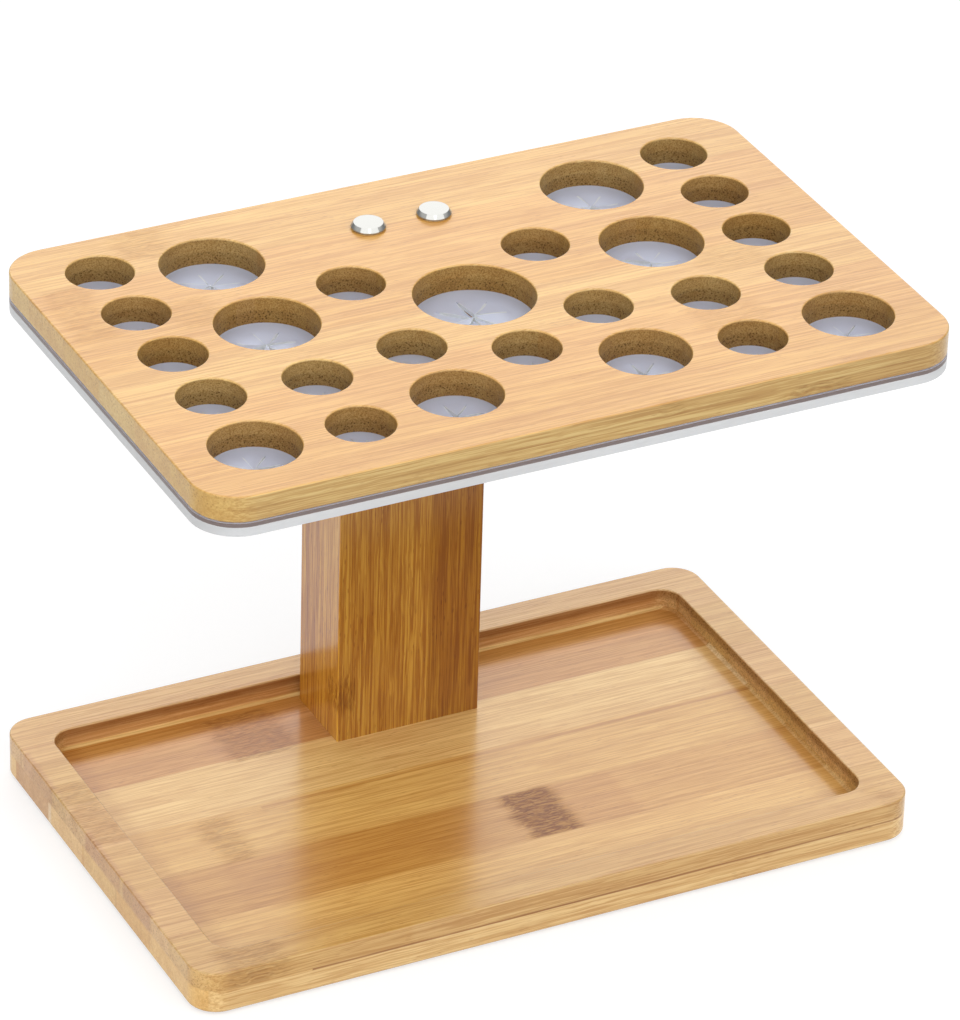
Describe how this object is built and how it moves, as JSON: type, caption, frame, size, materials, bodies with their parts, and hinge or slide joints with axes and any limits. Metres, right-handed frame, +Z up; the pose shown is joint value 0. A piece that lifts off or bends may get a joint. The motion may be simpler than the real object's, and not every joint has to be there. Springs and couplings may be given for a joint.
{
  "type": "make-up brush drying stand",
  "caption": "Bamboo stand that hangs make-up brushes head down to dry, in star-slit silicone sockets over a shallow tray.",
  "frame": {"origin": "middle of the stand's bounding box, on the plane that the pads rest on", "axes": "+Z up, +X to the right and +Y to the back, seen from the front; the post stands on the +Y side"},
  "size_m": [0.237, 0.1564, 0.1785],
  "materials": {
    "bamboo_board": "pale two-ply bamboo, sanded and clear sealed",
    "bamboo_base": "two-ply bamboo strips, sanded and clear sealed",
    "bamboo_post": "carbonised bamboo, upright grain",
    "silicone": "translucent silicone sheet",
    "acrylic": "clear cast acrylic, laser cut",
    "chrome": "polished",
    "seat_metal": "turned",
    "zinc_steel": "zinc plated",
    "pad_rubber": "matt foam rubber"
  },
  "bodies": {
    "root": {"base_tray": "bamboo_base", "post": "bamboo_post", "top_board": "bamboo_board", "silicone_sheet": "silicone", "acrylic_retainer": "acrylic", "screw_cap_left": "chrome", "screw_cap_right": "chrome", "cap_seat_left": "seat_metal", "cap_seat_right": "seat_metal", "head_screws": "zinc_steel", "base_screws": "zinc_steel", "retainer_screws": "zinc_steel", "pad_front_left": "pad_rubber", "pad_front_right": "pad_rubber", "pad_back_left": "pad_rubber", "pad_back_right": "pad_rubber"}
  },
  "joints": []
}
